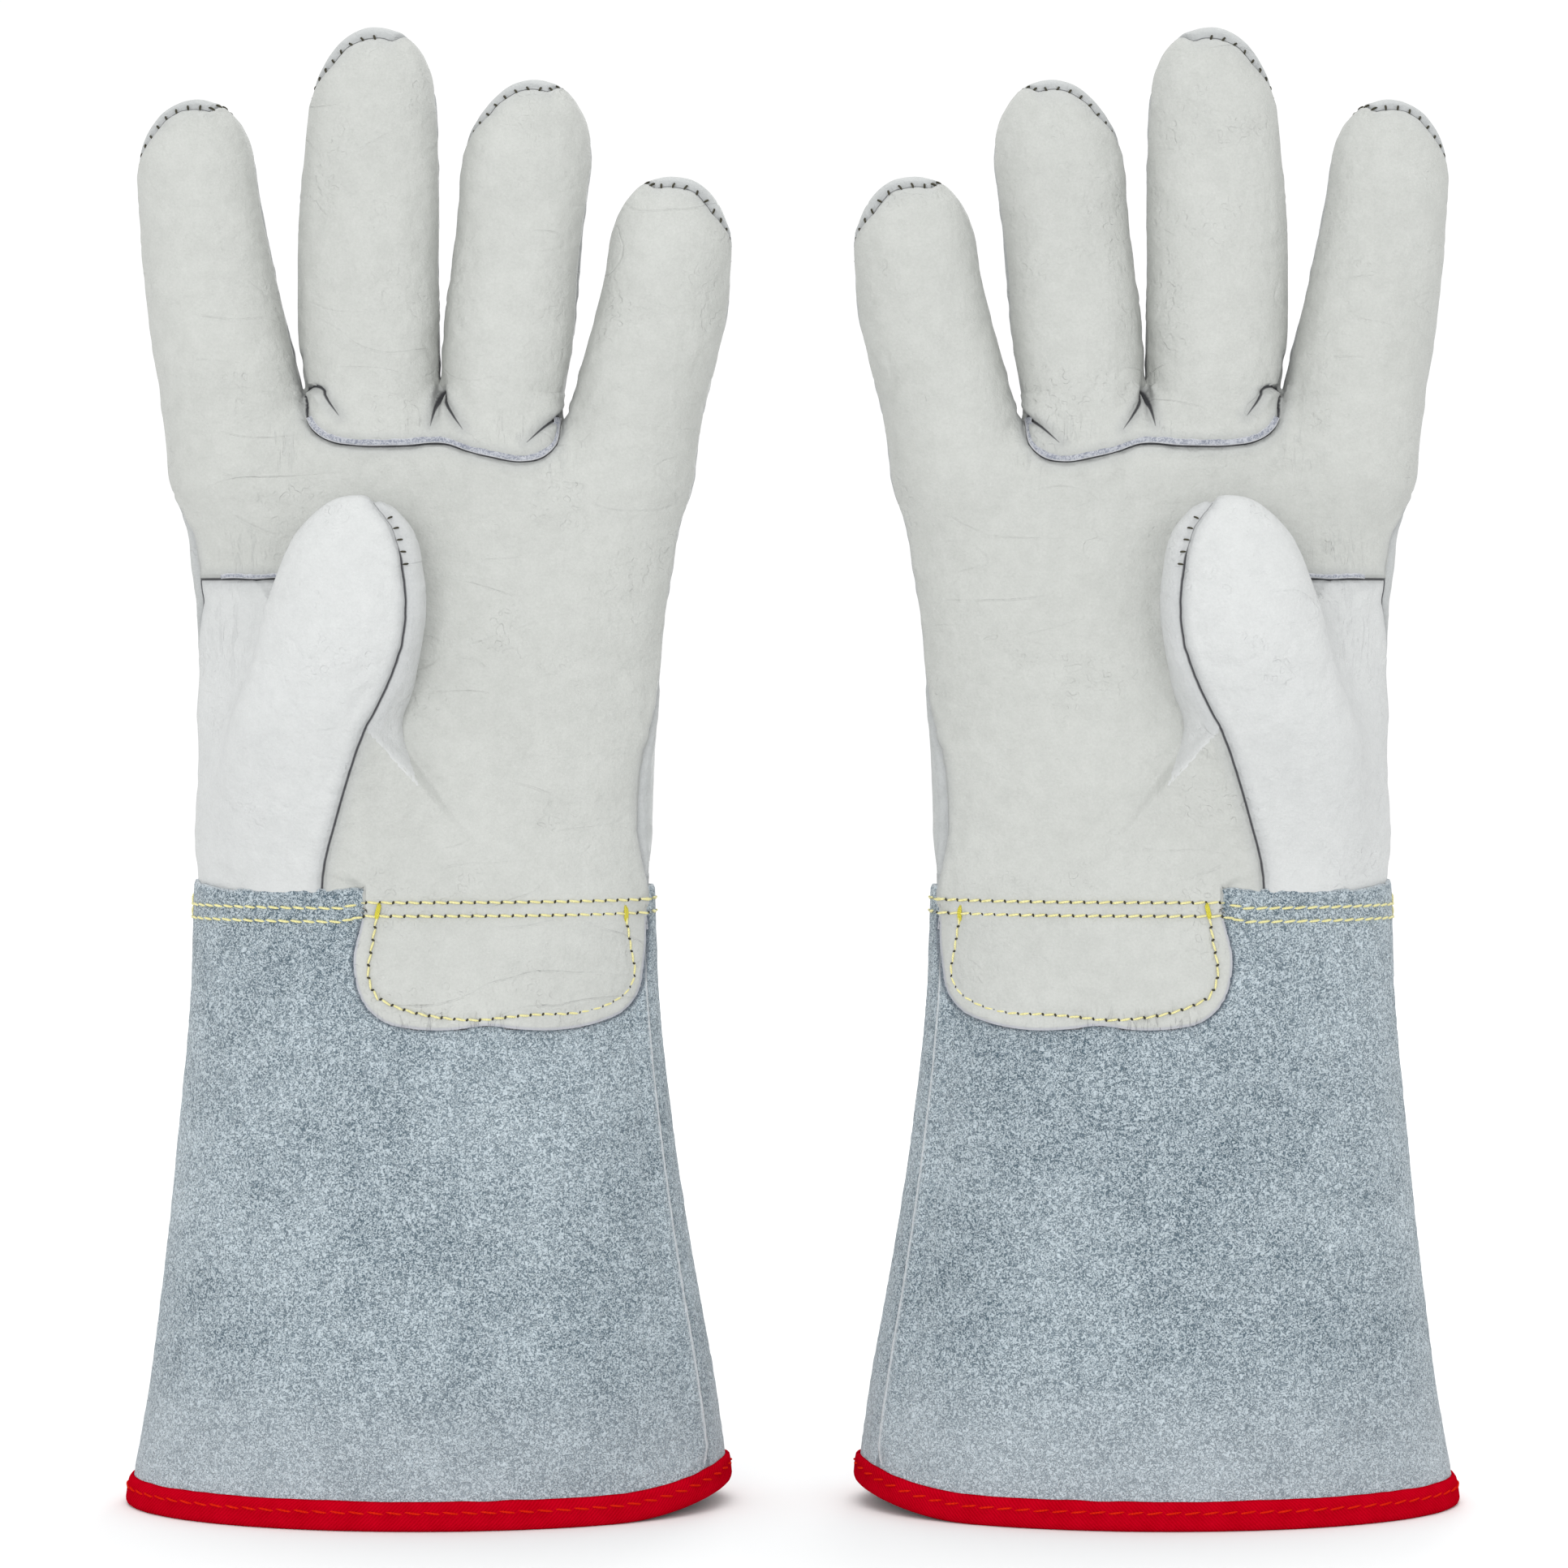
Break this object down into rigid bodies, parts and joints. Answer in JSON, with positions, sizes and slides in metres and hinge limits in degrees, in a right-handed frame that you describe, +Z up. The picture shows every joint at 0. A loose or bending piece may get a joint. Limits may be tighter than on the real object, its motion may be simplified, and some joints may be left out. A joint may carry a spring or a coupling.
{
  "type": "welding gloves",
  "caption": "Mirrored gauntlet welding gloves in split and grain leather, standing on their flared cuffs; wrists, fingers and thumbs bend and the cuffs are open below.",
  "frame": {"origin": "the floor midway between the two gloves, under the middle of their depth", "axes": "+Z up along the gloves to the fingertips, -Y the way both palms face, -X the left-hand glove and +X the right-hand glove"},
  "size_m": [0.3648, 0.0916, 0.4],
  "materials": {
    "hand_leather": "matt grain leather",
    "thumb_leather": "matt grain leather",
    "cuff_suede": "brushed split leather",
    "split_edge": "raw split edge",
    "cotton_canvas": "plain-weave cotton",
    "red_twill": "woven twill tape",
    "red_thread": "sewing thread",
    "yellow_thread": "aramid sewing thread"
  },
  "bodies": {
    "left_cuff": {"left_cuff_front": "cuff_suede", "left_cuff_back": "cuff_suede", "left_cuff_lining": "cotton_canvas", "left_cuff_binding": "red_twill", "left_binding_stitching": "red_thread", "left_palm_tab": "hand_leather", "left_cuff_stitching": "yellow_thread"},
    "left_hand": {"left_palm_panel": "hand_leather", "left_thumb_wing": "thumb_leather", "left_back_panel": "hand_leather", "left_base_welt": "split_edge", "left_finger_gussets": "hand_leather"},
    "left_thumb": {"left_thumb_front": "thumb_leather", "left_thumb_back": "hand_leather"},
    "left_index_lower": {"left_index_front_lower": "hand_leather", "left_index_back_lower": "hand_leather"},
    "left_index_upper": {"left_index_front_upper": "hand_leather", "left_index_back_upper": "hand_leather"},
    "left_middle_lower": {"left_middle_front_lower": "hand_leather", "left_middle_back_lower": "hand_leather"},
    "left_middle_upper": {"left_middle_front_upper": "hand_leather", "left_middle_back_upper": "hand_leather"},
    "left_ring_lower": {"left_ring_front_lower": "hand_leather", "left_ring_back_lower": "hand_leather"},
    "left_ring_upper": {"left_ring_front_upper": "hand_leather", "left_ring_back_upper": "hand_leather"},
    "left_little_lower": {"left_little_front_lower": "hand_leather", "left_little_back_lower": "hand_leather"},
    "left_little_upper": {"left_little_front_upper": "hand_leather", "left_little_back_upper": "hand_leather"},
    "right_cuff": {"right_cuff_front": "cuff_suede", "right_cuff_back": "cuff_suede", "right_cuff_lining": "cotton_canvas", "right_cuff_binding": "red_twill", "right_binding_stitching": "red_thread", "right_palm_tab": "hand_leather", "right_cuff_stitching": "yellow_thread"},
    "right_hand": {"right_palm_panel": "hand_leather", "right_thumb_wing": "thumb_leather", "right_back_panel": "hand_leather", "right_base_welt": "split_edge", "right_finger_gussets": "hand_leather"},
    "right_thumb": {"right_thumb_front": "thumb_leather", "right_thumb_back": "hand_leather"},
    "right_index_lower": {"right_index_front_lower": "hand_leather", "right_index_back_lower": "hand_leather"},
    "right_index_upper": {"right_index_front_upper": "hand_leather", "right_index_back_upper": "hand_leather"},
    "right_middle_lower": {"right_middle_front_lower": "hand_leather", "right_middle_back_lower": "hand_leather"},
    "right_middle_upper": {"right_middle_front_upper": "hand_leather", "right_middle_back_upper": "hand_leather"},
    "right_ring_lower": {"right_ring_front_lower": "hand_leather", "right_ring_back_lower": "hand_leather"},
    "right_ring_upper": {"right_ring_front_upper": "hand_leather", "right_ring_back_upper": "hand_leather"},
    "right_little_lower": {"right_little_front_lower": "hand_leather", "right_little_back_lower": "hand_leather"},
    "right_little_upper": {"right_little_front_upper": "hand_leather", "right_little_back_upper": "hand_leather"}
  },
  "joints": [
    {"name": "left_wrist_bend", "type": "hinge", "parent": "left_cuff", "child": "left_hand", "pos_m": [-0.1005, 0, 0.175], "axis": [1, 0, 0], "range_deg": [-30, 45], "stiffness_Nm_per_rad": 1.2},
    {"name": "left_index_base_bend", "type": "hinge", "parent": "left_hand", "child": "left_index_lower", "pos_m": [-0.1536, 0, 0.303], "axis": [1, 0, 0], "range_deg": [0, 65], "stiffness_Nm_per_rad": 0.12},
    {"name": "left_index_middle_bend", "type": "hinge", "parent": "left_index_lower", "child": "left_index_upper", "pos_m": [-0.1596, -0.0015, 0.342], "axis": [1, 0, 0], "range_deg": [0, 70], "stiffness_Nm_per_rad": 0.08},
    {"name": "left_middle_base_bend", "type": "hinge", "parent": "left_hand", "child": "left_middle_lower", "pos_m": [-0.1152, 0, 0.303], "axis": [1, 0, 0], "range_deg": [0, 65], "stiffness_Nm_per_rad": 0.12},
    {"name": "left_middle_middle_bend", "type": "hinge", "parent": "left_middle_lower", "child": "left_middle_upper", "pos_m": [-0.1145, -0.0015, 0.346], "axis": [1, 0, 0], "range_deg": [0, 70], "stiffness_Nm_per_rad": 0.08},
    {"name": "left_ring_base_bend", "type": "hinge", "parent": "left_hand", "child": "left_ring_lower", "pos_m": [-0.0786, 0, 0.302], "axis": [1, 0, 0], "range_deg": [0, 65], "stiffness_Nm_per_rad": 0.12},
    {"name": "left_ring_middle_bend", "type": "hinge", "parent": "left_ring_lower", "child": "left_ring_upper", "pos_m": [-0.0752, -0.0015, 0.343], "axis": [1, 0, 0], "range_deg": [0, 70], "stiffness_Nm_per_rad": 0.08},
    {"name": "left_little_base_bend", "type": "hinge", "parent": "left_hand", "child": "left_little_lower", "pos_m": [-0.0432, 0, 0.296], "axis": [1, 0, 0], "range_deg": [0, 65], "stiffness_Nm_per_rad": 0.12},
    {"name": "left_little_middle_bend", "type": "hinge", "parent": "left_little_lower", "child": "left_little_upper", "pos_m": [-0.0352, -0.0015, 0.327], "axis": [1, 0, 0], "range_deg": [0, 70], "stiffness_Nm_per_rad": 0.08},
    {"name": "left_thumb_lift", "type": "hinge", "parent": "left_hand", "child": "left_thumb", "pos_m": [-0.116, -0.0444, 0.23462], "axis": [0.6428, 0, -0.766], "range_deg": [0, 50], "stiffness_Nm_per_rad": 0.12},
    {"name": "right_wrist_bend", "type": "hinge", "parent": "right_cuff", "child": "right_hand", "pos_m": [0.1005, 0, 0.175], "axis": [1, 0, 0], "range_deg": [-30, 45], "stiffness_Nm_per_rad": 1.2},
    {"name": "right_index_base_bend", "type": "hinge", "parent": "right_hand", "child": "right_index_lower", "pos_m": [0.1536, 0, 0.303], "axis": [1, 0, 0], "range_deg": [0, 65], "stiffness_Nm_per_rad": 0.12},
    {"name": "right_index_middle_bend", "type": "hinge", "parent": "right_index_lower", "child": "right_index_upper", "pos_m": [0.1596, -0.0015, 0.342], "axis": [1, 0, 0], "range_deg": [0, 70], "stiffness_Nm_per_rad": 0.08},
    {"name": "right_middle_base_bend", "type": "hinge", "parent": "right_hand", "child": "right_middle_lower", "pos_m": [0.1152, 0, 0.303], "axis": [1, 0, 0], "range_deg": [0, 65], "stiffness_Nm_per_rad": 0.12},
    {"name": "right_middle_middle_bend", "type": "hinge", "parent": "right_middle_lower", "child": "right_middle_upper", "pos_m": [0.1145, -0.0015, 0.346], "axis": [1, 0, 0], "range_deg": [0, 70], "stiffness_Nm_per_rad": 0.08},
    {"name": "right_ring_base_bend", "type": "hinge", "parent": "right_hand", "child": "right_ring_lower", "pos_m": [0.0786, 0, 0.302], "axis": [1, 0, 0], "range_deg": [0, 65], "stiffness_Nm_per_rad": 0.12},
    {"name": "right_ring_middle_bend", "type": "hinge", "parent": "right_ring_lower", "child": "right_ring_upper", "pos_m": [0.0752, -0.0015, 0.343], "axis": [1, 0, 0], "range_deg": [0, 70], "stiffness_Nm_per_rad": 0.08},
    {"name": "right_little_base_bend", "type": "hinge", "parent": "right_hand", "child": "right_little_lower", "pos_m": [0.0432, 0, 0.296], "axis": [1, 0, 0], "range_deg": [0, 65], "stiffness_Nm_per_rad": 0.12},
    {"name": "right_little_middle_bend", "type": "hinge", "parent": "right_little_lower", "child": "right_little_upper", "pos_m": [0.0352, -0.0015, 0.327], "axis": [1, 0, 0], "range_deg": [0, 70], "stiffness_Nm_per_rad": 0.08},
    {"name": "right_thumb_lift", "type": "hinge", "parent": "right_hand", "child": "right_thumb", "pos_m": [0.116, -0.0444, 0.23462], "axis": [0.6428, 0, 0.766], "range_deg": [0, 50], "stiffness_Nm_per_rad": 0.12},
    {"name": "right_glove_lift", "type": "slide", "parent": "left_cuff", "child": "right_cuff", "axis": [0, 0, 1], "range_m": [0, 0.45]}
  ]
}
